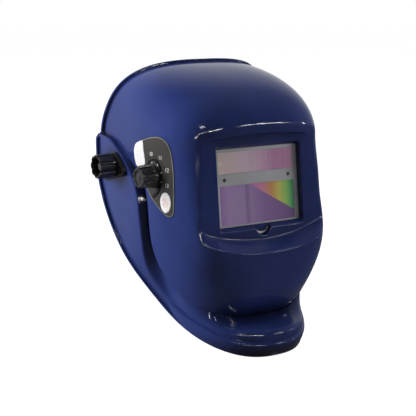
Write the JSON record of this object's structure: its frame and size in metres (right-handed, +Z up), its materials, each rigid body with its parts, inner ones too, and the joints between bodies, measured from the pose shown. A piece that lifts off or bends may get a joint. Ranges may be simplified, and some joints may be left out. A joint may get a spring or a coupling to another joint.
{
  "type": "welding helmet",
  "caption": "Flip-up welding helmet: wing-sided shell with chin bib, window with filter cartridge, shade knob, and ratchet headgear.",
  "frame": {"origin": "middle of the shell's tilt axis, between the two pivots", "axes": "+Z up, -Y the way the wearer looks, +X the wearer's left"},
  "size_m": [0.2616, 0.3295, 0.3127],
  "materials": {
    "shell_plastic": "glossy blue moulded plastic",
    "black_plastic": "satin black moulded plastic",
    "band_plastic": "satin black flexible plastic",
    "cartridge_grey": "satin grey plastic",
    "label_grey": "dark grey printed label",
    "label_white": "white printed label",
    "clear_cover": "clear polycarbonate",
    "solar": "pinkish solar cell under glass",
    "filter_glass": "purple interference filter",
    "lcd": "dark liquid-crystal cell",
    "sensor": "dark sensor windows",
    "board": "green circuit board",
    "chips": "black component bodies",
    "steel": "plated steel",
    "rubber": "matt black rubber",
    "pad_fabric": "black brushed cloth over foam"
  },
  "bodies": {
    "headgear": {"headband_front": "band_plastic", "sweatband": "pad_fabric", "crown_strap_right": "band_plastic", "crown_strap_left": "band_plastic", "crown_peg": "black_plastic", "side_arm_right": "black_plastic", "side_arm_left": "black_plastic", "band_rivets_right": "black_plastic", "band_rivets_left": "black_plastic", "strap_peg_right": "black_plastic", "strap_peg_left": "black_plastic", "pivot_screw_right": "steel", "pivot_screw_left": "steel", "stop_plate_right": "band_plastic", "stop_plate_left": "band_plastic", "friction_washer_right": "rubber", "friction_washer_left": "rubber", "rear_band_right": "band_plastic", "rear_band_left": "band_plastic"},
    "shell": {"helmet_shell": "shell_plastic", "front_cover_lens": "clear_cover", "cartridge_front": "cartridge_grey", "cartridge_back": "cartridge_grey", "solar_cell": "solar", "light_sensors": "sensor", "interference_glass": "filter_glass", "lcd_cell": "lcd", "circuit_board": "board", "board_chips": "chips", "coin_cells": "steel", "inner_cover_lens": "clear_cover", "cartridge_holder": "black_plastic", "holder_screws": "steel", "cartridge_clips": "steel", "clip_screws": "steel", "shade_potentiometer": "black_plastic", "potentiometer_nut": "steel", "shade_lead": "rubber", "lead_clip": "black_plastic", "lead_grommet": "black_plastic", "label_plate": "label_grey", "label_tab": "label_white", "label_sticker": "label_white", "outer_plate_right": "black_plastic", "outer_plate_left": "black_plastic", "stop_pin_right": "black_plastic", "stop_pin_left": "black_plastic"},
    "shade_knob": {"shade_knob": "black_plastic"},
    "sensitivity_dial": {"sensitivity_dial": "black_plastic"},
    "delay_dial": {"delay_dial": "black_plastic"},
    "tension_knob_right": {"tension_knob_right": "black_plastic"},
    "tension_knob_left": {"tension_knob_left": "black_plastic"},
    "ratchet_housing": {"ratchet_base": "black_plastic", "ratchet_cover": "black_plastic", "rear_pad": "pad_fabric"},
    "ratchet_knob": {"ratchet_knob": "black_plastic", "ratchet_pinion": "band_plastic"},
    "rack_right": {"rack_right": "band_plastic"},
    "rack_left": {"rack_left": "band_plastic"}
  },
  "joints": [
    {"name": "shell_tilt", "type": "hinge", "parent": "headgear", "child": "shell", "pos_m": [0, 0, 0], "axis": [-1, 0, 0], "range_deg": [0, 75]},
    {"name": "tension_turn_right", "type": "hinge", "parent": "headgear", "child": "tension_knob_right", "pos_m": [-0.12, 0, 0], "axis": [-1, 0, 0], "range_deg": [0, 360]},
    {"name": "tension_turn_left", "type": "hinge", "parent": "headgear", "child": "tension_knob_left", "pos_m": [0.12, 0, 0], "axis": [1, 0, 0], "range_deg": [0, 360]},
    {"name": "shade_turn", "type": "hinge", "parent": "shell", "child": "shade_knob", "pos_m": [-0.09937, -0.076, -0.003], "axis": [-0.9966, -0.0817, 0.0078], "range_deg": [-135, 135]},
    {"name": "sensitivity_turn", "type": "hinge", "parent": "shell", "child": "sensitivity_dial", "pos_m": [-0.038, -0.11328, 0.01006], "axis": [0, 0.9942, -0.1074], "range_deg": [-135, 135]},
    {"name": "delay_turn", "type": "hinge", "parent": "shell", "child": "delay_dial", "pos_m": [0.038, -0.11328, 0.01006], "axis": [0, 0.9942, -0.1074], "range_deg": [-135, 135]},
    {"name": "housing_slide", "type": "slide", "parent": "headgear", "child": "ratchet_housing", "axis": [0, -1, 0], "range_m": [0, 0.015]},
    {"name": "ratchet_turn", "type": "hinge", "parent": "ratchet_housing", "child": "ratchet_knob", "pos_m": [0, 0.13, -0.014], "axis": [0, 1, 0], "range_deg": [0, 140]},
    {"name": "rack_slide_right", "type": "slide", "parent": "headgear", "child": "rack_right", "axis": [0.7071, -0.7071, 0], "range_m": [0, 0.0212]},
    {"name": "rack_slide_left", "type": "slide", "parent": "headgear", "child": "rack_left", "axis": [-0.7071, -0.7071, 0], "range_m": [0, 0.0212]}
  ],
  "couplings": [
    {"joint": "housing_slide", "follows": "ratchet_turn", "m_per_rad": 0.006},
    {"joint": "rack_slide_right", "follows": "ratchet_turn", "m_per_rad": 0.008485},
    {"joint": "rack_slide_left", "follows": "ratchet_turn", "m_per_rad": 0.008485}
  ]
}
